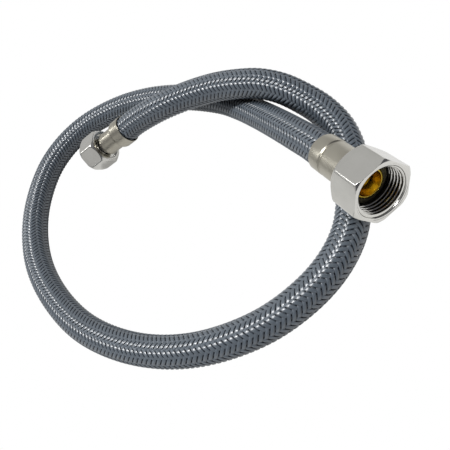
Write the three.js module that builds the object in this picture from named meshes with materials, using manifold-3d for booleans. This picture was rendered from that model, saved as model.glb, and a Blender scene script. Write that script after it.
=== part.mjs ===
// Braided connection hose, lying in one loop that crosses itself, with a swivel nut at each end.
// Millimetres, +Z up. The floor that it lies on is z = 0, and the large nut points along -Y.
//
// Each end is a fitting: a brass insert with a barbed tail goes into the hose, a ferrule is crimped
// over the hose, and a nut turns freely on the insert's neck, with a flat washer in its socket.

import * as THREE from 'three';
import { mergeVertices } from 'three/addons/utils/BufferGeometryUtils.js';
import Module from 'manifold-3d';

const wasm = await Module();
wasm.setup();

// Driving dimensions of the hose
const HOSE_DIAMETER = 12;
const BRAID_THICKNESS = 0.8;
const TUBE_BORE = 7.4;
const HOSE_SIDES = 12;
const HOSE_STEPS = 60;

// How far the hose goes on straight out of a ferrule
const STRAIGHT_LEAD = 7;

// Clearance between pieces that nest in each other or touch
const GAP = 0.3;

// Clearance between the thread's outer diameter and what lies in the nut: the washer and the collar
const SOCKET_PLAY = 1.2;

// Wall of a nut's socket from a flat to the thread's outer diameter
const SOCKET_WALL = 1.17;

// How far a cutting solid goes past what it cuts
const CUT_MARGIN = 2;

// Facets round a turned piece
const TURNED_SIDES = 32;

// The large fitting. Lengths are along its axis, and the mouth is the front plane of its nut.
const LARGE = {
  name: 'large',
  mouth: [26.65, -71.3, 22.87],
  heading: -93.2,
  rise: 8.4,
  acrossFlats: 19,
  nutLength: 12.2,
  countersink: 0.7,
  frontChamferDiameter: 20,
  frontChamferLength: 0.7,
  rearChamferDiameter: 18.8,
  rearChamferLength: 1.5,
  recessDiameter: 15,
  recessDepth: 0.9,
  shoulderThickness: 1,
  neckDiameter: 10,
  sealWidth: 1.8,
  noseWall: 0.7,
  noseLength: 1.1,
  collarThickness: 1,
  washerThickness: 1.5,
  ferruleSetback: 0,
  ferruleLength: 17.9,
  ferruleDiameter: 12.8,
  lipDiameter: 13.2,
  crimpBore: 11.8,
  lipLength: 1.6,
  tailLength: 16,
  barbs: 3,
};

// The small fitting, at the other end of the hose.
const SMALL = {
  name: 'small',
  mouth: [-33.41, 66.17, 7.472],
  heading: 145.8,
  rise: -15.4,
  acrossFlats: 15.5,
  nutLength: 10,
  countersink: 0.35,
  frontChamferDiameter: 16,
  frontChamferLength: 1.6,
  rearChamferDiameter: 15.2,
  rearChamferLength: 1.6,
  recessDiameter: 12,
  recessDepth: 0.9,
  shoulderThickness: 1,
  neckDiameter: 7.2,
  sealWidth: 1.28,
  noseWall: 0.8,
  noseLength: 0.3,
  collarThickness: 1,
  washerThickness: 1.5,
  ferruleSetback: 1.7,
  ferruleLength: 14.9,
  ferruleDiameter: 10.4,
  lipDiameter: 10.6,
  crimpBore: 9.5,
  lipLength: 1.4,
  tailLength: 9,
  barbs: 2,
};

// What the two fittings share: the crimped end of the ferrule, and the insert's tail
const FERRULE_WALL = 0.45;
const FERRULE_END_WALL = 0.8;
const THROAT_BORE = 11.8;
const COLLAR_DIAMETER = 12.9;
const COLLAR_LENGTH = 5.2;
const GROOVE_WIDTH = 1.4;
const GROOVE_DEPTH = 0.3;
const GROOVE_FLANK = 0.42;
const LIP_EDGE = 0.5;
const CRIMP_TAPER = 1.6;
const LOCK_THICKNESS = 1;
const TAIL_BORE = 4.8;
const BARB_HEIGHT = 0.45;
const BARB_SPACING = 3.6;
const BARB_TAPER = 2.2;
const BARB_RISE = 0.4;
const INSERT_BORE_STEP = 3;
const EDGE = 0.25;

// The hose's route between the two straight ends that the ferrules hold, as [x, y, lift]. The lift is
// the height of the hose's middle over its own radius, so 0 lies on the floor.
const ROUTE = [
  [28.65, -28.3, 10.5],
  [28.85, -13.5, 7.2],
  [28.85, 2.3, 3.3],
  [27.75, 17.3, 0.9],
  [25.45, 28.7, 0.25],
  [17.45, 47.9, 0.05],
  [4.95, 68.4, 0],
  [-8.25, 81.7, 0],
  [-25.25, 90.8, 0],
  [-40.55, 92.1, 0],
  [-55.35, 86.6, 0],
  [-72.25, 68.4, 0],
  [-82.15, 43.5, 0],
  [-83.75, 17.9, 0],
  [-78.15, -10.8, 0],
  [-64.25, -36.6, 0],
  [-47.25, -53.8, 0],
  [-26.25, -64.9, 0],
  [-8.75, -68, 0],
  [4.25, -66.8, 0],
  [15.05, -62.5, 0],
  [24.45, -54.9, 0.05],
  [32.25, -46.5, 0.1],
  [38.25, -37.9, 0.6],
  [41.95, -29.6, 1.7],
  [43.35, -20, 4],
  [42.45, -11.6, 6.8],
  [40.05, -3.1, 10.3],
  [36.25, 4.7, 12.7],
  [31.55, 11.7, 13.8],
  [24.75, 20.4, 14.3],
  [15.25, 29.5, 14.3],
  [4.25, 38.1, 13.7],
];

const materials = {
  nickel: new THREE.MeshStandardMaterial({ color: 0xb9b6ac, roughness: 0.35, metalness: 0.9 }),
  crimped: new THREE.MeshStandardMaterial({ color: 0xa9a597, roughness: 0.38, metalness: 0.9 }),
  brass: new THREE.MeshStandardMaterial({ color: 0xc9a22e, roughness: 0.3, metalness: 0.95 }),
  rubber: new THREE.MeshStandardMaterial({ color: 0x1c1c18, roughness: 0.8, metalness: 0 }),
  braid: new THREE.MeshStandardMaterial({ color: 0x6c737a, roughness: 0.45, metalness: 0 }),
};

// A closed manifold solid from a three.js geometry
function solid(geometry) {
  const bare = geometry.index ? geometry.toNonIndexed() : geometry.clone();
  bare.deleteAttribute('normal');
  bare.deleteAttribute('uv');
  const merged = mergeVertices(bare, 1e-4);
  return new wasm.Manifold(new wasm.Mesh({
    numProp: 3,
    vertProperties: new Float32Array(merged.attributes.position.array),
    triVerts: new Uint32Array(merged.index.array),
  }));
}

// A three.js geometry from a manifold solid
function geometryOf(manifold) {
  const mesh = manifold.getMesh();
  const geometry = new THREE.BufferGeometry();
  geometry.setAttribute('position', new THREE.BufferAttribute(new Float32Array(mesh.vertProperties), 3));
  geometry.setIndex(new THREE.BufferAttribute(new Uint32Array(mesh.triVerts), 1));
  geometry.computeVertexNormals();
  return geometry;
}

// A turned piece. The outline is a closed loop of [radius, depth], with the depth counted from the
// mouth towards the hose, and the piece's axis is Z with the mouth at z = 0.
function turned(outline, sides = TURNED_SIDES) {
  const points = outline.map(([radius, depth]) => new THREE.Vector2(radius, -depth));
  if (THREE.ShapeUtils.area(points) < 0) {
    points.reverse();
  }
  points.push(points[0].clone());
  return new THREE.LatheGeometry(points, sides).rotateX(Math.PI / 2);
}

function ring(innerRadius, outerRadius, from, to) {
  return turned([[innerRadius, from], [outerRadius, from], [outerRadius, to], [innerRadius, to]]);
}

// Depths along a fitting's axis that its pieces share
function layout(f) {
  const recessFloor = f.nutLength - f.recessDepth;
  const shoulder = recessFloor - f.shoulderThickness;
  const collarBack = shoulder - GAP;
  const collarFront = collarBack - f.collarThickness;
  const washerBack = collarFront - GAP;
  const washerFront = washerBack - f.washerThickness;
  const noseFront = washerFront - f.noseLength;
  const ferruleFront = recessFloor + GAP + f.ferruleSetback;
  const ferruleBack = ferruleFront + f.ferruleLength;
  const lockFront = ferruleFront + FERRULE_END_WALL + GAP;
  const lockBack = lockFront + LOCK_THICKNESS;
  const hoseEnd = lockBack + GAP;
  return {
    recessFloor, shoulder, collarBack, collarFront, washerBack, washerFront, noseFront,
    ferruleFront, ferruleBack, lockFront, lockBack, hoseEnd,
    tailEnd: lockBack + f.tailLength,
  };
}

// Radius of the thread's outer diameter in a nut
function threadRadius(f) {
  return f.acrossFlats / 2 - SOCKET_WALL;
}

// Hexagonal nut with turned ends, an open socket with a plain bore at the thread's outer diameter,
// a shoulder that bears on the insert's collar, and a recess that takes the ferrule's lip
function nut(f) {
  const at = layout(f);
  const corner = f.acrossFlats / Math.sqrt(3);
  const hexagon = new THREE.Shape();
  for (let i = 0; i < 6; i += 1) {
    const angle = (i + 0.5) * Math.PI / 3;
    hexagon[i ? 'lineTo' : 'moveTo'](corner * Math.cos(angle), corner * Math.sin(angle));
  }
  hexagon.closePath();
  const bar = new THREE.ExtrudeGeometry(hexagon, { depth: f.nutLength, bevelEnabled: false });
  bar.translate(0, 0, -f.nutLength);

  const front = f.frontChamferDiameter / 2;
  const rear = f.rearChamferDiameter / 2;
  const beyond = corner + GAP;
  const slope = (beyond - corner) / (corner - front) * f.frontChamferLength;
  const rearSlope = (beyond - corner) / (corner - rear) * f.rearChamferLength;
  const envelope = turned([
    [0, 0],
    [front, 0],
    [beyond, f.frontChamferLength + slope],
    [beyond, f.nutLength - f.rearChamferLength - rearSlope],
    [rear, f.nutLength],
    [0, f.nutLength],
  ]);

  const bore = threadRadius(f);
  const neckHole = f.neckDiameter / 2 + GAP;
  const recess = f.recessDiameter / 2;
  const socket = turned([
    [0, -CUT_MARGIN],
    [bore + f.countersink, -CUT_MARGIN],
    [bore + f.countersink, 0],
    [bore, f.countersink],
    [bore, at.shoulder],
    [neckHole, at.shoulder],
    [neckHole, at.recessFloor],
    [recess, at.recessFloor],
    [recess, f.nutLength + CUT_MARGIN],
    [0, f.nutLength + CUT_MARGIN],
  ]);
  return geometryOf(solid(bar).intersect(solid(envelope)).subtract(solid(socket)));
}

// Radii that the washer and the insert share: what lies in the socket, and the nose inside the washer
function seat(f) {
  const outer = threadRadius(f) - SOCKET_PLAY;
  const inner = outer - f.sealWidth;
  return { outer, inner, nose: inner - GAP };
}

function washer(f) {
  const at = layout(f);
  const { inner, outer } = seat(f);
  return ring(inner, outer, at.washerFront, at.washerBack);
}

// Brass insert: nose, collar, neck, lock flange inside the ferrule, and a barbed tail in the hose
function insert(f) {
  const at = layout(f);
  const { nose, outer: collar } = seat(f);
  const neck = f.neckDiameter / 2;
  const lock = f.crimpBore / 2 - GAP;
  const barbTop = TUBE_BORE / 2 - GAP;
  const root = barbTop - BARB_HEIGHT;
  const noseBore = nose - f.noseWall;
  const tailBore = TAIL_BORE / 2;
  const boreEnd = at.collarBack + INSERT_BORE_STEP;
  const outline = [
    [noseBore + EDGE, at.noseFront],
    [nose, at.noseFront],
    [nose, at.collarFront],
    [collar, at.collarFront],
    [collar, at.collarBack],
    [neck, at.collarBack],
    [neck, at.lockFront],
    [lock, at.lockFront],
    [lock, at.lockBack],
    [root, at.lockBack],
  ];
  for (let i = f.barbs - 1; i >= 0; i -= 1) {
    const tip = at.tailEnd - i * BARB_SPACING;
    outline.push([root, tip - BARB_TAPER - BARB_RISE]);
    outline.push([barbTop, tip - BARB_TAPER]);
    outline.push([root, tip]);
  }
  outline.push([tailBore, at.tailEnd]);
  outline.push([tailBore, boreEnd]);
  outline.push([noseBore, boreEnd - (noseBore - tailBore)]);
  outline.push([noseBore, at.noseFront + EDGE]);
  return turned(outline);
}

// Ferrule: a drawn cup whose end wall hooks behind the insert's neck. It has a rolled lip at the nut,
// a crimped body, a groove, and a collar where the hose goes in.
function ferrule(f) {
  const at = layout(f);
  const body = f.ferruleDiameter / 2;
  const lip = f.lipDiameter / 2;
  const collar = COLLAR_DIAMETER / 2;
  const bore = f.crimpBore / 2;
  const throat = THROAT_BORE / 2;
  const mouth = HOSE_DIAMETER / 2 + GAP;
  const neckHole = f.neckDiameter / 2 + GAP;
  const bodyBore = body - FERRULE_WALL;
  const lipEnd = at.ferruleFront + f.lipLength;
  const groove = at.ferruleBack - COLLAR_LENGTH;
  return turned([
    [neckHole, at.ferruleFront],
    [lip - LIP_EDGE, at.ferruleFront],
    [lip, at.ferruleFront + LIP_EDGE],
    [lip, lipEnd - LIP_EDGE],
    [body, lipEnd],
    [body, groove - GROOVE_WIDTH],
    [collar - GROOVE_DEPTH, groove - GROOVE_WIDTH + GROOVE_FLANK],
    [collar - GROOVE_DEPTH, groove - GROOVE_FLANK],
    [collar, groove],
    [collar, at.ferruleBack - EDGE],
    [(collar + mouth) / 2, at.ferruleBack],
    [mouth, at.ferruleBack],
    [throat, at.ferruleBack - CRIMP_TAPER],
    [throat, groove],
    [bore, groove - GROOVE_WIDTH],
    [Math.max(bore, bodyBore), groove - GROOVE_WIDTH - EDGE],
    [Math.max(bore, bodyBore), at.ferruleFront + FERRULE_END_WALL],
    [neckHole, at.ferruleFront + FERRULE_END_WALL],
  ]);
}

// What the crimped ferrule takes off the hose: everything outside its bore, with the running gap
function crimpCutter(f) {
  const at = layout(f);
  const crimped = f.crimpBore / 2 - GAP;
  const throat = THROAT_BORE / 2 - GAP;
  const full = HOSE_DIAMETER / 2;
  const outside = full + CUT_MARGIN;
  const step = at.ferruleBack - COLLAR_LENGTH + GAP;
  const outline = [
    [crimped, at.hoseEnd - CUT_MARGIN],
    [outside, at.hoseEnd - CUT_MARGIN],
    [outside, at.ferruleBack],
    [full, at.ferruleBack],
    [throat, at.ferruleBack - CRIMP_TAPER],
  ];
  if (crimped < throat) {
    outline.push([throat, step], [crimped, step]);
  }
  return turned(outline);
}

function mesh(name, geometry, material) {
  const piece = new THREE.Mesh(geometry, material);
  piece.name = name;
  return piece;
}

// The rotation that turns the axis Z to the fitting's heading and rise, with two flats of the nut level
function aim(group, f) {
  const degrees = Math.PI / 180;
  group.rotation.set(0, (90 - f.rise) * degrees, f.heading * degrees, 'ZYX');
  group.position.set(...f.mouth);
  group.updateMatrixWorld(true);
}

function fitting(f) {
  const group = new THREE.Group();
  group.add(mesh(`${f.name}_nut`, nut(f), materials.nickel));
  group.add(mesh(`${f.name}_washer`, washer(f), materials.rubber));
  group.add(mesh(`${f.name}_insert`, insert(f), materials.brass));
  group.add(mesh(`${f.name}_ferrule`, ferrule(f), materials.crimped));
  aim(group, f);
  return group;
}

// Points on a fitting's axis that keep the hose straight from its end to just outside the ferrule
function straightEnd(group, f) {
  const at = layout(f);
  const depths = [at.hoseEnd, at.ferruleBack, at.ferruleBack + STRAIGHT_LEAD];
  return depths.map((depth) => new THREE.Vector3(0, 0, -depth).applyMatrix4(group.matrixWorld));
}

const largeEnd = fitting(LARGE);
const smallEnd = fitting(SMALL);

const route = new THREE.CatmullRomCurve3([
  ...straightEnd(largeEnd, LARGE),
  ...ROUTE.map(([x, y, lift]) => new THREE.Vector3(x, y, lift + HOSE_DIAMETER / 2)),
  ...straightEnd(smallEnd, SMALL).reverse(),
], false, 'centripetal');
route.arcLengthDivisions = 2000;

// A round tube along the route
function tubeAlong(outerRadius, innerRadius) {
  const section = new THREE.Shape();
  const hole = new THREE.Path();
  for (let i = 0; i < HOSE_SIDES; i += 1) {
    const angle = i * 2 * Math.PI / HOSE_SIDES;
    const step = i ? 'lineTo' : 'moveTo';
    section[step](outerRadius * Math.cos(angle), outerRadius * Math.sin(angle));
    hole[step](innerRadius * Math.cos(angle), innerRadius * Math.sin(angle));
  }
  section.closePath();
  hole.closePath();
  section.holes.push(hole);
  return new THREE.ExtrudeGeometry(section, { steps: HOSE_STEPS, extrudePath: route });
}

// A tube of the hose, crimped at both ends
function crimpedTube(outerRadius, innerRadius) {
  let tube = solid(tubeAlong(outerRadius, innerRadius));
  for (const [end, f] of [[largeEnd, LARGE], [smallEnd, SMALL]]) {
    tube = tube.subtract(solid(crimpCutter(f).applyMatrix4(end.matrixWorld)));
  }
  return geometryOf(tube);
}

const sleeveOuter = HOSE_DIAMETER / 2;
const sleeveInner = sleeveOuter - BRAID_THICKNESS;
const hose = new THREE.Group();
hose.add(mesh('braid_sleeve', crimpedTube(sleeveOuter, sleeveInner), materials.braid));
hose.add(mesh('inner_tube', crimpedTube(sleeveInner - GAP, TUBE_BORE / 2), materials.rubber));

const object = new THREE.Group();
object.add(hose, largeEnd, smallEnd);

export default object;
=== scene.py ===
"""Braided connection hose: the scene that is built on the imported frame. Lengths are in millimetres
until they go into Blender, and +Z is up."""

import math

import bpy
import numpy as np
from mathutils import Matrix, Vector


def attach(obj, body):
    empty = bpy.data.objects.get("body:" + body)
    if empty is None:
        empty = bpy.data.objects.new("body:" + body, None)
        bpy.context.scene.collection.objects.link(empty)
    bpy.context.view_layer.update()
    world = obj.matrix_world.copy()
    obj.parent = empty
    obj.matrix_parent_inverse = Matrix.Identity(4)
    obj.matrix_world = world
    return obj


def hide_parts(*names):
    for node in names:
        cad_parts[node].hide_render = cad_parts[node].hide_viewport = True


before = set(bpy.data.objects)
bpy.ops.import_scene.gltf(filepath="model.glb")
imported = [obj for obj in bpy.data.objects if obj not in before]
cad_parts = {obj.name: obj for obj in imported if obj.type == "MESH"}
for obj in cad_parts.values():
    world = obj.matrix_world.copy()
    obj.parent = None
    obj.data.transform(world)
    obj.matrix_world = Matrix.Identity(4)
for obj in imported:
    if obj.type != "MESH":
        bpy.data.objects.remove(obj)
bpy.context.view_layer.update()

MM = 0.001

# The photograph's camera: where it stands, where it looks and how it is turned
CAMERA_PLACE = (-11.78, -150.06, 150.75)
CAMERA_FORWARD = (0.0, 0.65889, -0.75224)
CAMERA_RIGHT = (0.71328, -0.52723, -0.46180)
FOCAL_PIXELS = 520.0
PHOTO_PIXELS = 450.0
SENSOR = 36.0
CLIP_NEAR = 5.0
CLIP_FAR = 20000.0


def add_object(name, data):
    """An object for a mesh, a lamp or a camera, put into the scene."""
    thing = bpy.data.objects.new(name, data)
    bpy.context.scene.collection.objects.link(thing)
    return thing


def make_camera():
    data = bpy.data.cameras.new("camera")
    camera = add_object("camera", data)
    data.sensor_width = SENSOR
    data.lens = SENSOR * FOCAL_PIXELS / PHOTO_PIXELS
    data.clip_start = CLIP_NEAR * MM
    data.clip_end = CLIP_FAR * MM
    forward = Vector(CAMERA_FORWARD).normalized()
    right = Vector(CAMERA_RIGHT)
    right = (right - forward * right.dot(forward)).normalized()
    turn = Matrix((right, right.cross(forward), -forward)).transposed()
    camera.matrix_world = Matrix.Translation(Vector(CAMERA_PLACE) * MM) @ turn.to_4x4()
    bpy.context.scene.camera = camera


make_camera()

# Dimensions that both ends share, as in the part's source
HOSE_DIAMETER = 12.0
HOSE_RADIUS = HOSE_DIAMETER / 2
GAP = 0.3
FERRULE_END_WALL = 0.8
LOCK_THICKNESS = 1.0
SHOULDER_THICKNESS = 1.0
COLLAR_THICKNESS = 1.0
WASHER_THICKNESS = 1.5
STRAIGHT_LEAD = 7.0

# Dimensions of the two ends. Chamfers, recess and lip are (diameter, length along the axis), and the
# nose is (diameter, bore, length).
LARGE = dict(
    name="large",
    mouth=(26.65, -71.3, 22.87),
    heading=-93.2,
    rise=8.4,
    across_flats=19.0,
    nut_length=12.2,
    thread_major=16.66,
    thread_minor=14.95,
    countersink=0.7,
    front_chamfer=(20.0, 0.7),
    rear_chamfer=(18.8, 1.5),
    recess=(15.0, 0.9),
    neck=10.0,
    nose=(10.06, 8.66, 1.1),
    ferrule_setback=0.0,
    ferrule_length=17.9,
    ferrule_diameter=12.8,
    lip=(13.2, 1.6),
    crimp_bore=11.8,
)
SMALL = dict(
    name="small",
    mouth=(-33.41, 66.17, 7.472),
    heading=145.8,
    rise=-15.4,
    across_flats=15.5,
    nut_length=10.0,
    thread_major=13.16,
    thread_minor=11.45,
    countersink=0.35,
    front_chamfer=(16.0, 1.6),
    rear_chamfer=(15.2, 1.6),
    recess=(12.0, 0.9),
    neck=7.2,
    nose=(7.6, 6.0, 0.3),
    ferrule_setback=1.7,
    ferrule_length=14.9,
    ferrule_diameter=10.4,
    lip=(10.6, 1.4),
    crimp_bore=9.5,
)

# The hose's route, as [x, y, height of its middle over its radius]
ROUTE = [
    (28.65, -28.3, 10.5),
    (28.85, -13.5, 7.2),
    (28.85, 2.3, 3.3),
    (27.75, 17.3, 0.9),
    (25.45, 28.7, 0.25),
    (17.45, 47.9, 0.05),
    (4.95, 68.4, 0),
    (-8.25, 81.7, 0),
    (-25.25, 90.8, 0),
    (-40.55, 92.1, 0),
    (-55.35, 86.6, 0),
    (-72.25, 68.4, 0),
    (-82.15, 43.5, 0),
    (-83.75, 17.9, 0),
    (-78.15, -10.8, 0),
    (-64.25, -36.6, 0),
    (-47.25, -53.8, 0),
    (-26.25, -64.9, 0),
    (-8.75, -68, 0),
    (4.25, -66.8, 0),
    (15.05, -62.5, 0),
    (24.45, -54.9, 0.05),
    (32.25, -46.5, 0.1),
    (38.25, -37.9, 0.6),
    (41.95, -29.6, 1.7),
    (43.35, -20, 4),
    (42.45, -11.6, 6.8),
    (40.05, -3.1, 10.3),
    (36.25, 4.7, 12.7),
    (31.55, 11.7, 13.8),
    (24.75, 20.4, 14.3),
    (15.25, 29.5, 14.3),
    (4.25, 38.1, 13.7),
]
STEPS_PER_POINT = 40
STEP = 0.5


def place(f):
    """The matrix from a fitting's own frame, +Z out of its mouth, to the row frame, in mm."""
    tilt = Matrix.Rotation(math.radians(90 - f["rise"]), 4, "Y")
    swing = Matrix.Rotation(math.radians(f["heading"]), 4, "Z")
    return Matrix.Translation(f["mouth"]) @ swing @ tilt


def layout(f):
    """Depths along a fitting's axis, counted from its mouth towards the hose."""
    recess_floor = f["nut_length"] - f["recess"][1]
    shoulder = recess_floor - SHOULDER_THICKNESS
    collar_back = shoulder - GAP
    collar_front = collar_back - COLLAR_THICKNESS
    washer_back = collar_front - GAP
    washer_front = washer_back - WASHER_THICKNESS
    ferrule_front = recess_floor + GAP + f["ferrule_setback"]
    lock_front = ferrule_front + FERRULE_END_WALL + GAP
    return dict(
        recess_floor=recess_floor,
        shoulder=shoulder,
        collar_back=collar_back,
        collar_front=collar_front,
        washer_back=washer_back,
        washer_front=washer_front,
        nose_front=washer_front - f["nose"][2],
        ferrule_front=ferrule_front,
        ferrule_back=ferrule_front + f["ferrule_length"],
        lock_front=lock_front,
        lock_back=lock_front + LOCK_THICKNESS,
        hose_end=lock_front + LOCK_THICKNESS + GAP,
    )


def on_axis(f, depth):
    return np.array(place(f) @ Vector((0, 0, -depth)))


def straight_end(f):
    """The route's points inside a ferrule and just behind it, on the fitting's axis."""
    at = layout(f)
    depths = (at["hose_end"], at["ferrule_back"], at["ferrule_back"] + STRAIGHT_LEAD)
    return [on_axis(f, depth) for depth in depths]


def smooth_line(points, steps):
    """The centripetal Catmull-Rom curve through the points, as the part's source draws it."""
    line = []
    for i in range(len(points) - 1):
        p1, p2 = points[i], points[i + 1]
        p0 = points[i - 1] if i else 2 * p1 - p2
        p3 = points[i + 2] if i + 2 < len(points) else 2 * p2 - p1
        t = [math.sqrt(np.linalg.norm(b - a)) for a, b in ((p0, p1), (p1, p2), (p2, p3))]
        m1 = ((p1 - p0) / t[0] - (p2 - p0) / (t[0] + t[1]) + (p2 - p1) / t[1]) * t[1]
        m2 = ((p2 - p1) / t[1] - (p3 - p1) / (t[1] + t[2]) + (p3 - p2) / t[2]) * t[1]
        s = np.linspace(0, 1, steps, endpoint=False)[:, None]
        line.append(
            (2 * s**3 - 3 * s**2 + 1) * p1
            + (s**3 - 2 * s**2 + s) * m1
            + (3 * s**2 - 2 * s**3) * p2
            + (s**3 - s**2) * m2
        )
    return np.vstack(line + [points[-1][None]])


route = straight_end(LARGE)
route += [np.array((x, y, lift + HOSE_RADIUS)) for x, y, lift in ROUTE]
route += straight_end(SMALL)[::-1]
middle = smooth_line(route, STEPS_PER_POINT)
run = np.r_[0, np.cumsum(np.linalg.norm(np.diff(middle, axis=0), axis=1))]

# The centre line at even steps, with a frame that doesn't twist
along = np.arange(0, run[-1], STEP)
line = np.stack([np.interp(along, run, middle[:, k]) for k in range(3)], axis=1)
heading = np.gradient(line, axis=0)
heading /= np.linalg.norm(heading, axis=1)[:, None]
side = np.zeros_like(line)
side[0] = np.cross(heading[0], (0, 0, 1))
side[0] /= np.linalg.norm(side[0])
for i in range(1, len(line)):
    v = side[i - 1] - heading[i] * side[i - 1].dot(heading[i])
    side[i] = v / np.linalg.norm(v)
over = np.cross(side, heading)


def sampled(vectors, a):
    """Vectors that are known at the even steps, read at the distances a along the hose."""
    return np.stack([np.interp(a, along, vectors[:, k]) for k in range(3)], axis=-1)


def on_hose(a, angle, radius):
    """Points at a distance along the hose, an angle round it and a radius from its middle."""
    outward = np.cos(angle)[..., None] * sampled(side, a) + np.sin(angle)[..., None] * sampled(over, a)
    return sampled(line, a) + radius[..., None] * outward


def new_mesh(name, points, faces, smooth_angle=None):
    """A mesh object from points in mm and faces of point numbers."""
    mesh = bpy.data.meshes.new(name)
    places = [tuple(point) for point in np.asarray(points) * MM]
    mesh.from_pydata(places, [], [tuple(int(corner) for corner in face) for face in faces])
    mesh.update()
    mesh.shade_smooth()
    if smooth_angle is not None:
        mesh.set_sharp_from_angle(angle=math.radians(smooth_angle))
    return add_object(name, mesh)


# Node helpers. A tree is a material's or the world's node tree.

MIX_SHARE_IN = 0         # the Mix node's sockets, when it mixes colours
MIX_COLOURS_IN = (6, 7)
MIX_COLOUR_OUT = 2


def node_material(name):
    material = bpy.data.materials.new(name)
    material.use_nodes = True
    tree = material.node_tree
    return material, tree, tree.nodes["Principled BSDF"]


def noise(tree, scale, detail, coords="Object", stretch=None):
    texture = tree.nodes.new("ShaderNodeTexNoise")
    texture.inputs["Scale"].default_value = scale
    texture.inputs["Detail"].default_value = detail
    vector = tree.nodes.new("ShaderNodeTexCoord").outputs[coords]
    if stretch is not None:
        mapping = tree.nodes.new("ShaderNodeMapping")
        mapping.inputs["Scale"].default_value = stretch
        tree.links.new(vector, mapping.inputs["Vector"])
        vector = mapping.outputs["Vector"]
    tree.links.new(vector, texture.inputs["Vector"])
    return texture.outputs["Fac"]


def ramp(tree, source, stops):
    """A colour ramp over a value, with stops of (position, colour)."""
    node = tree.nodes.new("ShaderNodeValToRGB")
    elements = node.color_ramp.elements
    while len(elements) < len(stops):
        elements.new(0.5)
    for element, (position, colour) in zip(elements, stops):
        element.position = position
        element.color = (*colour, 1)
    tree.links.new(source, node.inputs["Fac"])
    return node.outputs["Color"]


def calculated(tree, operation, first, second=None):
    """A Math node's result. Its first input is a socket, and its second a socket or a number."""
    node = tree.nodes.new("ShaderNodeMath")
    node.operation = operation
    tree.links.new(first, node.inputs[0])
    if isinstance(second, bpy.types.NodeSocket):
        tree.links.new(second, node.inputs[1])
    elif second is not None:
        node.inputs[1].default_value = second
    return node.outputs["Value"]


def mixed_colours(tree, blend_type, *colours):
    """Two colours put together at full strength."""
    node = tree.nodes.new("ShaderNodeMix")
    node.data_type = "RGBA"
    node.blend_type = blend_type
    node.inputs[MIX_SHARE_IN].default_value = 1.0
    for number, colour in zip(MIX_COLOURS_IN, colours):
        tree.links.new(colour, node.inputs[number])
    return node.outputs[MIX_COLOUR_OUT]


def mixed_shaders(tree, share, first, second):
    """The first shader, with the second one in its place by a share from 0 to 1."""
    node = tree.nodes.new("ShaderNodeMixShader")
    for socket, source in zip(node.inputs, (share, first, second)):
        tree.links.new(source, socket)
    return node.outputs["Shader"]


def bump(tree, shader, source, height, strength=1.0):
    node = tree.nodes.new("ShaderNodeBump")
    node.inputs["Distance"].default_value = height * MM
    node.inputs["Strength"].default_value = strength
    tree.links.new(source, node.inputs["Height"])
    tree.links.new(node.outputs["Normal"], shader.inputs["Normal"])


# Metals, rubber and fibre

CLOUD_SCALE = 130.0      # of the slow change in a metal's colour
CLOUD_DETAIL = 3.0
CLOUD_STOPS = (0.35, 0.65)
GRAIN_STOPS = (0.3, 0.7)
METAL_GRAIN_DETAIL = 4.0
SOFT_GRAIN_DETAIL = 5.0


def two_tone(tree, source, places, dark, light):
    """A ramp from a dark to a light colour between two values of its source."""
    return ramp(tree, source, list(zip(places, (dark, light))))


def metal(name, light, dark, roughness, spread, grain_height, grain_scale, stretch=None):
    """Plated or bare metal: a base colour that varies a little, a roughness that does too, and grain.
    Stretched grain follows the turned surface."""
    material, tree, shader = node_material(name)
    shader.inputs["Metallic"].default_value = 1.0
    clouds = noise(tree, CLOUD_SCALE, CLOUD_DETAIL)
    tree.links.new(two_tone(tree, clouds, CLOUD_STOPS, dark, light), shader.inputs["Base Color"])
    grain = noise(tree, grain_scale, METAL_GRAIN_DETAIL, "UV" if stretch else "Object", stretch)
    rough = tree.nodes.new("ShaderNodeMapRange")
    rough.inputs["To Min"].default_value = roughness - spread
    rough.inputs["To Max"].default_value = roughness + spread
    tree.links.new(grain, rough.inputs["Value"])
    tree.links.new(rough.outputs["Result"], shader.inputs["Roughness"])
    bump(tree, shader, grain, grain_height)
    return material


def soft_material(name, light, dark, roughness, grain_height, grain_scale):
    """Rubber or fibre: grain that changes the colour and the surface together."""
    material, tree, shader = node_material(name)
    grain = noise(tree, grain_scale, SOFT_GRAIN_DETAIL)
    tree.links.new(two_tone(tree, grain, GRAIN_STOPS, dark, light), shader.inputs["Base Color"])
    shader.inputs["Roughness"].default_value = roughness
    bump(tree, shader, grain, grain_height)
    return material


nickel = metal(
    "nickel_plate", light=(0.76, 0.75, 0.71), dark=(0.72, 0.71, 0.67),
    roughness=0.20, spread=0.03, grain_height=0.004, grain_scale=500.0,
)
# A dark metal that paints shade into the thread's grooves
thread_painted_shade = metal(
    "thread_grooves_painted_shade", light=(0.10, 0.085, 0.065), dark=(0.05, 0.045, 0.035),
    roughness=0.32, spread=0.05, grain_height=0.004, grain_scale=900.0,
)
satin = metal(
    "ferrule_satin", light=(0.53, 0.505, 0.43), dark=(0.47, 0.445, 0.375),
    roughness=0.33, spread=0.04, grain_height=0.006, grain_scale=1.0, stretch=(220, 6, 1),
)
brass = metal(
    "insert_brass", light=(0.93, 0.70, 0.14), dark=(0.80, 0.57, 0.08),
    roughness=0.22, spread=0.05, grain_height=0.008, grain_scale=1.0, stretch=(4, 160, 1),
)
rubber = soft_material(
    "tube_rubber", light=(0.012, 0.013, 0.015), dark=(0.006, 0.006, 0.008),
    roughness=0.6, grain_height=0.04, grain_scale=800.0,
)
seal = soft_material(
    "seal_fibre", light=(0.24, 0.215, 0.125), dark=(0.18, 0.16, 0.09),
    roughness=0.55, grain_height=0.05, grain_scale=1200.0,
)


# The strands' material

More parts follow.
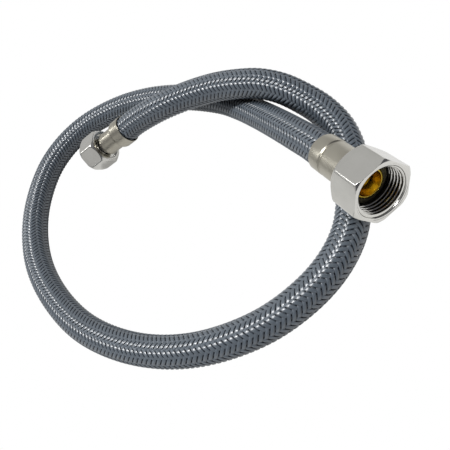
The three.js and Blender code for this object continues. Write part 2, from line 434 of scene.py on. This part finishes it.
STRAND_LIGHT = (0.137, 0.163, 0.193)
STRAND_DARK = (0.098, 0.119, 0.142)
STREAK_STRETCH = (5.0, 2.0, 1.0)
STREAK_DETAIL = 2.0
FILAMENTS = 7
# painted shade in the creases between filaments
FILAMENT_CREASE_SHADE = [(0.0, (0.6, 0.6, 0.6)), (0.45, (1, 1, 1))]
FILAMENT_HEIGHT = 0.04
FILAMENT_STRENGTH = 0.3
# painted shade along a strand's edges
EDGE_SHADE = [(0.0, (0.12, 0.12, 0.13)), (0.06, (0.5, 0.5, 0.52)), (0.13, (1.0, 1.0, 1.0))]
CONTACT_REACH = 14.0     # how near something has to be for painted shade on the strands
CONTACT_SHADE = [(0.25, (0.10, 0.11, 0.12)), (0.62, (1.0, 1.0, 1.0))]
CONTACT_SAMPLES = 6
STRAND_GLOSS = 0.9
STRAND_ROUGHNESS = 0.34
STRAND_IOR = 1.6
STRAND_ANISOTROPY = 0.85


def strand_material():
    """Flat glossy polymer filaments, side by side in each strand, with a slight change of grey, and
    painted shade between the filaments, along the strands' edges and where something lies close.
    """
    material, tree, shader = node_material("braid_strands")
    split = tree.nodes.new("ShaderNodeSeparateXYZ")
    tree.links.new(tree.nodes.new("ShaderNodeTexCoord").outputs["UV"], split.inputs["Vector"])
    across = split.outputs["X"]

    # Rounded filaments across the strand, with painted shade in the creases between them
    wave = calculated(tree, "SINE", calculated(tree, "MULTIPLY", across, FILAMENTS * math.pi))
    crown = calculated(tree, "ABSOLUTE", wave)
    streak = noise(tree, 1.0, STREAK_DETAIL, "UV", STREAK_STRETCH)
    tint = two_tone(tree, streak, GRAIN_STOPS, STRAND_DARK, STRAND_LIGHT)
    colour = mixed_colours(tree, "MULTIPLY", tint, ramp(tree, crown, FILAMENT_CREASE_SHADE))

    # Painted shade along the strands' edges, where one dips under the next: darker and duller there
    edge_shade = ramp(tree, calculated(tree, "PINGPONG", across, 0.5), EDGE_SHADE)
    colour = mixed_colours(tree, "MULTIPLY", colour, edge_shade)

    # and painted shade where another strand or a fitting lies close, from an ambient occlusion node
    close = tree.nodes.new("ShaderNodeAmbientOcclusion")
    close.samples = CONTACT_SAMPLES
    close.inputs["Distance"].default_value = CONTACT_REACH * MM
    close_shade = ramp(tree, close.outputs["AO"], CONTACT_SHADE)
    colour = mixed_colours(tree, "MULTIPLY", colour, close_shade)
    tree.links.new(colour, shader.inputs["Base Color"])
    # The painted shade of the edges and of close things also lowers the gloss
    both_shades = calculated(tree, "MULTIPLY", edge_shade, close_shade)
    gloss = calculated(tree, "MULTIPLY", both_shades, STRAND_GLOSS)
    tree.links.new(gloss, shader.inputs["Specular IOR Level"])

    shader.inputs["Roughness"].default_value = STRAND_ROUGHNESS
    shader.inputs["IOR"].default_value = STRAND_IOR
    shader.inputs["Anisotropic"].default_value = STRAND_ANISOTROPY
    grain_way = tree.nodes.new("ShaderNodeTangent")
    grain_way.direction_type = "UV_MAP"
    grain_way.uv_map = "strand"
    tree.links.new(grain_way.outputs["Tangent"], shader.inputs["Tangent"])
    bump(tree, shader, crown, FILAMENT_HEIGHT, FILAMENT_STRENGTH)
    return material


# The braid

CARRIERS = 12            # strands each way
LAY = 22.6               # length of one turn of a strand
CROSSINGS_PER_WAVE = 4   # two over and two under
WAVE_STEEPNESS = 1.5     # over 1, a strand stays level while it is over or under
STRAND_WIDTH = 1.36
STRAND_EDGE_DROP = 0.26
STRAND_CROWN = (0.0, 0.25, 0.75, 1.0)
BRAID_MIDDLE = 5.72      # radius halfway between a strand that is over and one that is under
BRAID_WAVE = 0.2
BRAID_IN_FERRULE = 4.0
SAMPLES_PER_CROSSING = 2
CRIMPED_RADIUS = 5.55
PRESS_LEAD = 0.4         # how far before the ferrule's mouth the braid starts to narrow
PRESS_LENGTH = 1.6
TEXTURE_LENGTH = 10.0    # mm of surface to one unit of its texture
STRAND_SHIFT = 3.7       # of the texture, from one strand to the next

lean = math.atan2(math.pi * HOSE_DIAMETER, LAY)
large_at, small_at = layout(LARGE), layout(SMALL)
first_mouth = large_at["ferrule_back"] - large_at["hose_end"]
last_mouth = run[-1] - (small_at["ferrule_back"] - small_at["hose_end"])
braid_from = first_mouth - BRAID_IN_FERRULE
braid_to = last_mouth + BRAID_IN_FERRULE


def squeeze(a):
    """How far the ferrules' crimped ends press the braid in, as a radius to take off."""
    into = np.maximum(first_mouth + PRESS_LEAD - a, a - last_mouth + PRESS_LEAD)
    return np.clip(into / PRESS_LENGTH, 0, 1) * (HOSE_RADIUS - CRIMPED_RADIUS)


def strand_points(i, way, a):
    """The points of one strand, row after row along it, for the distances a along the hose."""
    # Right-leaning strands fall in angle along the hose and left-leaning ones rise. A strand changes
    # sides halfway between two crossings.
    crossing = 2 * i - way * 2 * a * CARRIERS / LAY
    wave = WAVE_STEEPNESS * np.cos(2 * math.pi * (crossing - 0.5) / CROSSINGS_PER_WAVE)
    swing = np.clip(wave, -1, 1) * way
    angle = 2 * math.pi * (i / CARRIERS - way * a / LAY)
    columns = []
    for across in STRAND_CROWN:
        w = (across - 0.5) * STRAND_WIDTH
        edge = abs(2 * across - 1) ** 2
        radius = BRAID_MIDDLE + BRAID_WAVE * swing - STRAND_EDGE_DROP * edge
        a_w = np.clip(a + w * math.sin(lean), along[0], along[-1])
        angle_w = angle + way * w * math.cos(lean) / HOSE_RADIUS
        columns.append(on_hose(a_w, angle_w, radius - squeeze(a_w)))
    return np.stack(columns, axis=1).reshape(-1, 3)


def strand_faces(first_point, rows, way):
    """The quads between the rows of one strand, with their fronts outwards."""
    n = len(STRAND_CROWN)
    corner = np.arange(rows - 1)[:, None] * n + np.arange(n - 1)[None]
    corner = corner.reshape(-1) + first_point
    quads = np.stack([corner, corner + 1, corner + n + 1, corner + n], axis=1)
    return quads if way > 0 else quads[:, ::-1]


def strand_texture(i, a):
    """UVs of one strand: across it, and along it with a shift of its own."""
    lengthwise = (a / TEXTURE_LENGTH + i * STRAND_SHIFT)[:, None]
    uv = np.stack(np.broadcast_arrays(np.array(STRAND_CROWN)[None, :], lengthwise), axis=-1)
    return uv.reshape(-1, 2)


def make_braid():
    crossings = (braid_to - braid_from) / LAY * 2 * CARRIERS
    rows = int(crossings * SAMPLES_PER_CROSSING)
    a = np.linspace(braid_from, braid_to, rows)
    points, faces, uvs = [], [], []
    for way in (1, -1):
        for i in range(CARRIERS):
            faces.append(strand_faces(len(points) * rows * len(STRAND_CROWN), rows, way))
            points.append(strand_points(i, way, a))
            uvs.append(strand_texture(i, a))
    points, faces, uvs = np.vstack(points), np.vstack(faces), np.vstack(uvs)
    mesh = bpy.data.meshes.new("braid")
    mesh.vertices.add(len(points))
    mesh.vertices.foreach_set("co", (points * MM).astype(np.float32).ravel())
    mesh.loops.add(faces.size)
    mesh.loops.foreach_set("vertex_index", faces.astype(np.int32).ravel())
    mesh.polygons.add(len(faces))
    mesh.polygons.foreach_set("loop_start", np.arange(0, faces.size, 4, dtype=np.int32))
    mesh.update(calc_edges=True)
    layer = mesh.uv_layers.new(name="strand")
    layer.data.foreach_set("uv", uvs[faces.ravel()].astype(np.float32).ravel())
    mesh.shade_smooth()
    return add_object("braid", mesh)


braid = make_braid()
braid.data.materials.append(strand_material())
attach(braid, "hose")
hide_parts("braid_sleeve")


# The fittings. Each piece is a closed skin of rings: one row of radii round the axis at each depth.

ROUND = 180              # points round a fitting's piece, so that a hexagon's corners fall on them
SEAM = 0.05              # of the texture, between the last ring and the first
CORNER_ROWS = 5          # rings round each corner of a turned outline
CORNER_SHARE = 0.45      # the most of an outline's edge that one rounded corner takes
angles = np.linspace(0, 2 * math.pi, ROUND, endpoint=False)


def soft_min(a, b, blend):
    return -blend * np.log(np.exp(-a / blend) + np.exp(-b / blend))


def turned_texture(piece, rows, faces):
    """UVs round the axis and along the skin."""
    depths = [np.mean(depth) for depth, radii in rows]
    sizes = [np.mean(radii) for depth, radii in rows]
    travelled = np.r_[0, np.cumsum(np.hypot(np.diff(depths), np.diff(sizes)))] / TEXTURE_LENGTH
    ring, spot = faces // ROUND, faces % ROUND
    u = spot / ROUND
    # The last face of a ring ends at 1, where the first one begins at 0
    u[(spot[:, 2:] == 0).all(axis=1), 2:] = 1.0
    v = travelled[ring]
    v[-ROUND:, 1:3] = travelled[-1] + SEAM
    layer = piece.data.uv_layers.new(name="turned")
    layer.data.foreach_set("uv", np.stack([u, v], axis=-1).astype(np.float32).ravel())


def ringed(f, name, rows, material, body, node, sharp):
    """A closed piece from rows of (depth, radii), that replaces a CAD node of this end."""
    matrix = place(f)
    rotation, origin = np.array(matrix.to_3x3()), np.array(matrix.translation)
    points = []
    for depth, radii in rows:
        ring = np.broadcast_arrays(radii * np.cos(angles), radii * np.sin(angles), -depth)
        points.append(np.stack(ring, axis=1) @ rotation.T + origin)
    j = np.arange(ROUND)
    faces = []
    for k in range(len(rows)):
        a, b = k * ROUND, ((k + 1) % len(rows)) * ROUND
        faces.append(np.stack([a + j, b + j, b + (j + 1) % ROUND, a + (j + 1) % ROUND], axis=1))
    faces = np.vstack(faces)
    piece = new_mesh(f["name"] + "_" + name, np.vstack(points), faces, sharp)
    turned_texture(piece, rows, faces)
    piece.data.materials.append(material)
    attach(piece, body)
    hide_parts(f["name"] + "_" + node)
    return piece


def rounded(outline):
    """The rows of a closed outline of (depth, radius, fillet), with its corners rounded."""
    rows = []
    for i, (depth, radius, fillet) in enumerate(outline):
        corner = np.array((depth, radius))
        before = np.array(outline[i - 1][:2]) - corner
        after = np.array(outline[(i + 1) % len(outline)][:2]) - corner
        length_before, length_after = np.linalg.norm(before), np.linalg.norm(after)
        cut = min(fillet, CORNER_SHARE * length_before, CORNER_SHARE * length_after)
        start, end = corner + before / length_before * cut, corner + after / length_after * cut
        for s in np.linspace(0, 1, CORNER_ROWS):
            rows.append((1 - s) ** 2 * start + 2 * s * (1 - s) * corner + s**2 * end)
    return rows


# Nuts. An edge is a list of (depth, rise): how far a row lies from a face and from the face's rim.

HALF_SIDE = math.pi / 6  # the angle from the middle of a hexagon's side to its corner
CORNER_FILLET = 1.1
CHAMFER_BLEND = 0.05
SKIN_START = 0.08        # depth of the first row behind a rim
CHAMFER_ROWS = np.array([0.0, 0.06, 0.14, 0.24, 0.36, 0.5, 0.65, 0.85, 1.1, 1.5])
SIDE_FROM = 2.2          # behind the mouth, where the rows along the flats begin
SIDE_TO = 2.4            # before the nut's back, where they end
SIDE_ROWS = 5
MOUTH_EDGE = ((SKIN_START, -0.02), (0.02, 0.05), (0.0, 0.14))
FRONT_EDGE = ((0.0, -0.12), (0.03, -0.03))
REAR_EDGE = ((0.02, -0.08), (0.0, -0.2))
RECESS_EDGE = ((0.0, 0.25), (0.05, 0.06), (0.2, 0.0))
INNER_BREAK = 0.1        # bevel of the edges inside the nut
NECK_BREAK = 0.15
THREAD_PITCH = 1.337
THREAD_STEP = 0.075
THREAD_RELIEF = 0.3      # from the thread's end to the washer
THREAD_FADE = 0.6
FLANK_SLOPE = 1.35       # over 1, so that crests and roots are a little flat
CREST_FLAT = 0.18
GROOVE_SHADE_FROM = 1.3       # depth at which the painted shade in the grooves begins
CREST_RISE = 0.22        # how far the crest, left bright, goes into the thread's flank, above the painted shade


def hexagon(flat):
    """The radii of a hexagon with rounded corners, from the distance of its sides."""
    from_middle = (angles + HALF_SIDE) % (2 * HALF_SIDE) - HALF_SIDE
    round_from = math.atan2((flat - CORNER_FILLET) * math.tan(HALF_SIDE), flat)
    arc_middle = (flat - CORNER_FILLET) / math.cos(HALF_SIDE)
    off = HALF_SIDE - abs(from_middle)
    reach = np.sqrt(np.maximum(CORNER_FILLET**2 - (arc_middle * np.sin(off)) ** 2, 0))
    arc = arc_middle * np.cos(off) + reach
    return np.where(abs(from_middle) < round_from, flat / np.cos(from_middle), arc)


def thread_rows(f, major, minor):
    """The thread: a helix from the washer out to the rounded edge of the mouth."""
    rows = []
    relief = layout(f)["washer_front"] + THREAD_RELIEF
    rounding = f["countersink"]
    for t in np.arange(relief, SKIN_START, -THREAD_STEP):
        turn_part = (t / THREAD_PITCH + angles / (2 * math.pi)) % 1.0
        groove = np.clip(abs(2 * turn_part - 1) * FLANK_SLOPE - CREST_FLAT, 0, 1)
        fade = np.clip((relief - t) / THREAD_FADE, 0, 1)
        radii = major - (major - minor) * (1 - groove) * fade
        if t < rounding:
            rim = major + rounding - math.sqrt(rounding**2 - (rounding - t) ** 2)
            radii = np.maximum(radii, rim)
        rows.append((t, radii))
    return rows


def make_nut(f):
    """The swivel nut, from the edge of its mouth over the outside and back through the thread."""
    at = layout(f)
    length, flat = f["nut_length"], f["across_flats"] / 2
    major, minor = f["thread_major"] / 2, f["thread_minor"] / 2
    recess, neck = f["recess"][0] / 2, f["neck"] / 2 + GAP
    corner = flat / math.cos(HALF_SIDE)
    front_radius, front_length = f["front_chamfer"][0] / 2, f["front_chamfer"][1]
    rear_radius, rear_length = f["rear_chamfer"][0] / 2, f["rear_chamfer"][1]
    sides = hexagon(flat)

    def outer(t):
        front = front_radius + t * (corner - front_radius) / front_length
        rear = rear_radius + (length - t) * (corner - rear_radius) / rear_length
        return soft_min(soft_min(sides, front, CHAMFER_BLEND), rear, CHAMFER_BLEND)

    rows = [(depth, major + f["countersink"] + rise) for depth, rise in MOUTH_EDGE]
    rows += [(depth, outer(0.0) + rise) for depth, rise in FRONT_EDGE]
    rows += [(t, outer(t)) for t in CHAMFER_ROWS + SKIN_START]
    rows += [(t, outer(t)) for t in np.linspace(SIDE_FROM, length - SIDE_TO, SIDE_ROWS)]
    rows += [(t, outer(t)) for t in length - CHAMFER_ROWS[::-1] - SKIN_START]
    rows += [(length - depth, outer(length) + rise) for depth, rise in REAR_EDGE]
    rows += [(length - depth, recess + rise) for depth, rise in RECESS_EDGE]
    rows += [(at["recess_floor"] + INNER_BREAK, recess), (at["recess_floor"], recess - INNER_BREAK)]
    rows += [(at["recess_floor"], neck + NECK_BREAK), (at["recess_floor"] - INNER_BREAK, neck)]
    rows += [(at["shoulder"] + INNER_BREAK, neck), (at["shoulder"], neck + INNER_BREAK)]
    rows += [(at["shoulder"], major - INNER_BREAK), (at["shoulder"] - INNER_BREAK, major)]
    first_turn = len(rows)
    rows += thread_rows(f, major, minor)
    piece = ringed(f, "hexagon_nut", rows, nickel, f["name"] + "_swivel", "nut", sharp=28.0)

    # Painted shade: the thread's grooves get a dark metal, and its crests stay bright
    piece.data.materials.append(thread_painted_shade)
    for k, face in enumerate(piece.data.polygons):
        row, spot = divmod(k, ROUND)
        if first_turn <= row < len(rows) - 1:
            deep = rows[row][0] > GROOVE_SHADE_FROM
            face.material_index = int(deep and minor + CREST_RISE < rows[row][1][spot])


# Ferrules

FERRULE_WALL = 0.45
LIP_SLOPE = 0.8          # length of the slope from the lip down to the body
THROAT = 5.9
FLARE = 6.12             # radius of the mouth, which opens a little round the braid
FLARE_LENGTH = 1.6
COLLAR = 6.45
COLLAR_LENGTH = 5.2
GROOVE_WIDTH = 1.4
GROOVE_DEPTH = 0.32
GROOVE_SLOPE = 0.45
BORE_STEP = 0.25
FACETS = 10
FACET_TURN = 0.3
FACET_LIFT = 0.002
FACET_FADE = 1.2
FACET_START = 0.6        # from the lip
FACET_STOP = 0.3         # from the groove
BODY_FACET_SHARE = 0.55
COLLAR_FACET_SHARE = 0.12
BODY_SKIN = 0.3          # rows this close under the body's radius are on its outside
COLLAR_SKIN = 0.2


def facets():
    """What the crimping tool's flats add to a radius, as a share of it."""
    facet_angle = 2 * math.pi / FACETS
    around = (angles + FACET_TURN) % facet_angle - facet_angle / 2
    pinch = np.cos(facet_angle / 2) / np.cos(around) - 1
    # No point of a ring falls on a facet's corner, so the highest one would lie too low
    return pinch - 2 * pinch.max() + FACET_LIFT


def make_ferrule(f):
    """The drawn cup: rolled lip, crimped body with lengthwise facets, groove and collar."""
    at = layout(f)
    front, back = at["ferrule_front"], at["ferrule_back"]
    body, lip = f["ferrule_diameter"] / 2, f["lip"][0] / 2
    lip_end = front + f["lip"][1]
    neck, bore = f["neck"] / 2 + GAP, f["crimp_bore"] / 2
    inner = max(bore, body - FERRULE_WALL)
    groove = back - COLLAR_LENGTH
    groove_front = groove - GROOVE_WIDTH
    outline = [
        (front, neck, 0.1),
        (front, lip, 0.9),
        (lip_end, lip, 0.6),
        (lip_end + LIP_SLOPE, body, 0.6),
        (groove_front, body, 0.35),
        (groove_front + GROOVE_SLOPE, COLLAR - GROOVE_DEPTH, 0.3),
        (groove - GROOVE_SLOPE, COLLAR - GROOVE_DEPTH, 0.3),
        (groove, COLLAR, 0.35),
        (back, COLLAR, 0.3),
        (back, FLARE, 0.12),
        (back - FLARE_LENGTH, THROAT, 0.2),
        (groove, THROAT, 0.2),
        (groove_front, bore, 0.2),
        (groove_front - BORE_STEP, inner, 0.1),
        (front + FERRULE_END_WALL, inner, 0.2),
        (front + FERRULE_END_WALL, neck, 0.1),
    ]
    flats = facets()
    rows = []
    for depth, radius in rounded(outline):
        inside = min(depth - (lip_end + FACET_START), groove_front - FACET_STOP - depth)
        share = 0.0
        if radius > body - BODY_SKIN:
            share = BODY_FACET_SHARE * np.clip(inside / FACET_FADE, 0, 1)
        if radius > COLLAR - COLLAR_SKIN and depth > groove:
            share = COLLAR_FACET_SHARE
        rows.append((depth, radius * (1 + flats * share)))
    ringed(f, "crimp_ferrule", rows, satin, "hose", "ferrule", sharp=40.0)


# Inserts and washers

SOCKET_PLAY = 1.2        # from the thread's outer radius to the collar and the washer
BORE_DEPTH = 3.0         # of the nose's wide bore, past the collar
TAIL_LENGTH = 6.0
TAIL_RADIUS = 2.95
TAIL_BORE = 2.4
PLATED_FROM = 3          # the insert's outline is plated from its collar's edge
PLATED_TO = 9            # to the back of its lock flange
WASHER_FILLET = 0.25


def make_insert(f):
    """The brass insert, turned: nose, collar, neck, lock flange and tail."""
    at = layout(f)
    nose, bore = f["nose"][0] / 2, f["nose"][1] / 2
    neck, collar = f["neck"] / 2, f["thread_major"] / 2 - SOCKET_PLAY
    lock = f["crimp_bore"] / 2 - GAP
    step = at["collar_back"] + BORE_DEPTH
    tail = at["lock_back"] + TAIL_LENGTH
    outline = [
        (at["nose_front"], bore, 0.18),
        (at["nose_front"], nose, 0.25),
        (at["collar_front"], nose, 0.1),
        (at["collar_front"], collar, 0.15),
        (at["collar_back"], collar, 0.15),
        (at["collar_back"], neck, 0.15),
        (at["lock_front"], neck, 0.1),
        (at["lock_front"], lock, 0.1),
        (at["lock_back"], lock, 0.1),
        (at["lock_back"], TAIL_RADIUS, 0.1),
        (tail, TAIL_RADIUS, 0.1),
        (tail, TAIL_BORE, 0.1),
        (step, TAIL_BORE, 0.2),
        (step - (bore - TAIL_BORE), bore, 0.4),
    ]
    piece = ringed(f, "brass_insert", rounded(outline), brass, "hose", "insert", sharp=35.0)
    piece.data.materials.append(nickel)
    for k, face in enumerate(piece.data.polygons):
        corner = k // ROUND // CORNER_ROWS
        face.material_index = int(PLATED_FROM <= corner <= PLATED_TO)


def make_washer(f):
    at = layout(f)
    inner, outer = f["nose"][0] / 2 + GAP, f["thread_major"] / 2 - SOCKET_PLAY
    outline = [
        (at["washer_front"], inner, WASHER_FILLET),
        (at["washer_front"], outer, WASHER_FILLET),
        (at["washer_back"], outer, WASHER_FILLET),
        (at["washer_back"], inner, WASHER_FILLET),
    ]
    ringed(f, "seal", rounded(outline), seal, "hose", "washer", sharp=50.0)


for f in (LARGE, SMALL):
    make_nut(f)
    make_ferrule(f)
    make_insert(f)
    make_washer(f)

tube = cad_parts["inner_tube"]
tube.data.materials.clear()
tube.data.materials.append(rubber)


# Floor, backdrop and light

FLOOR_HALF = 3000.0
FLOOR_HEIGHT = -0.05     # a hair under the hose, so that the two surfaces don't coincide
FLOOR_BOUNCE = 0.62
FLOOR_ROUGHNESS = 0.9
# A glowing sheet painted into the floor's reflections, brighter towards +X
PAINTED_REFLECTION_DIM_X = -40.0
PAINTED_REFLECTION_BRIGHT_X = 45.0
PAINTED_REFLECTION = [(0.0, (0.62, 0.62, 0.61)), (1.0, (1.0, 1.0, 1.0))]
PAINTED_REFLECTION_SHARE = 0.55       # of the painted reflection, a glowing sheet, in the reflections of glossy surfaces
BACKDROP_SIDE = (0.0, 0.93, 0.37)
BACKDROP = [
    (0.0, (0.09, 0.09, 0.10)), (0.45, (0.15, 0.15, 0.16)),
    (0.62, (0.46, 0.46, 0.46)), (1.0, (0.52, 0.52, 0.52)),
]
WALL_SIDE = (-0.97, -0.14, 0.18)
WALL = [
    (0.0, (0.0, 0.0, 0.0)), (0.86, (0.0, 0.0, 0.0)),
    (0.95, (0.48, 0.48, 0.48)), (1.0, (0.50, 0.50, 0.50)),
]


def floor_material():
    """White to the camera, a glowing sheet painted into the reflections of glossy surfaces and
    brighter towards +X, and otherwise a plain pale surface that takes the light and the shadows."""
    material, tree, shader = node_material("floor_white")
    shader.inputs["Base Color"].default_value = (FLOOR_BOUNCE, FLOOR_BOUNCE, FLOOR_BOUNCE, 1)
    shader.inputs["Roughness"].default_value = FLOOR_ROUGHNESS
    apart = tree.nodes.new("ShaderNodeSeparateXYZ")
    tree.links.new(tree.nodes.new("ShaderNodeTexCoord").outputs["Object"], apart.inputs["Vector"])
    reach = tree.nodes.new("ShaderNodeMapRange")
    reach.inputs["From Min"].default_value = PAINTED_REFLECTION_DIM_X * MM
    reach.inputs["From Max"].default_value = PAINTED_REFLECTION_BRIGHT_X * MM
    tree.links.new(apart.outputs["X"], reach.inputs["Value"])
    painted_reflection_glow = tree.nodes.new("ShaderNodeEmission")
    tree.links.new(ramp(tree, reach.outputs["Result"], PAINTED_REFLECTION), painted_reflection_glow.inputs["Color"])
    glow = tree.nodes.new("ShaderNodeEmission")
    glow.inputs["Color"].default_value = (1, 1, 1, 1)
    ray = tree.nodes.new("ShaderNodeLightPath")
    share = calculated(tree, "MULTIPLY", ray.outputs["Is Glossy Ray"], PAINTED_REFLECTION_SHARE)
    reflected = mixed_shaders(tree, share, shader.outputs["BSDF"], painted_reflection_glow.outputs["Emission"])
    seen = mixed_shaders(tree, ray.outputs["Is Camera Ray"], reflected, glow.outputs["Emission"])
    tree.links.new(seen, tree.nodes["Material Output"].inputs["Surface"])
    return material


def make_floor():
    square = ((-1, -1), (1, -1), (1, 1), (-1, 1))
    corners = [(x * FLOOR_HALF, y * FLOOR_HALF, FLOOR_HEIGHT) for x, y in square]
    floor = new_mesh("floor", corners, [(0, 1, 2, 3)])
    floor.data.materials.append(floor_material())


def facing(tree, direction, stops):
    """A colour by how directly a ray that leaves the scene goes towards a side."""
    dot = tree.nodes.new("ShaderNodeVectorMath")
    dot.operation = "DOT_PRODUCT"
    dot.inputs[1].default_value = direction
    tree.links.new(tree.nodes.new("ShaderNodeTexCoord").outputs["Generated"], dot.inputs[0])
    return ramp(tree, dot.outputs["Value"], stops)


def make_room():
    """White to the camera, and otherwise a dim room with a pale backdrop behind the hose and a pale
    wall on its left."""
    world = bpy.data.worlds.new("studio")
    bpy.context.scene.world = world
    world.use_nodes = True
    tree = world.node_tree
    room = tree.nodes["Background"]
    room.inputs["Strength"].default_value = 1.0
    backdrop = facing(tree, BACKDROP_SIDE, BACKDROP)
    wall = facing(tree, WALL_SIDE, WALL)
    tree.links.new(mixed_colours(tree, "LIGHTEN", backdrop, wall), room.inputs["Color"])
    white = tree.nodes.new("ShaderNodeBackground")
    white.inputs["Color"].default_value = (1, 1, 1, 1)
    ray = tree.nodes.new("ShaderNodeLightPath")
    seen = mixed_shaders(
        tree, ray.outputs["Is Camera Ray"], room.outputs["Background"], white.outputs["Background"]
    )
    tree.links.new(seen, tree.nodes["World Output"].inputs["Surface"])


def softbox(name, place_mm, size_mm, power):
    """A rectangular lamp that shines at the middle of the scene."""
    data = bpy.data.lights.new(name, "AREA")
    data.shape = "RECTANGLE"
    data.size, data.size_y = size_mm[0] * MM, size_mm[1] * MM
    data.energy = power
    light = add_object(name, data)
    light.location = Vector(place_mm) * MM
    light.rotation_mode = "QUATERNION"
    light.rotation_quaternion = (-Vector(place_mm)).normalized().to_track_quat("-Z", "Y")


make_floor()
make_room()
softbox("key", place_mm=(-388, 69, 1806), size_mm=(320, 320), power=30.0)
softbox("strip", place_mm=(-780, 1035, 750), size_mm=(200, 500), power=1.4)

bpy.context.scene.view_settings.view_transform = "Standard"
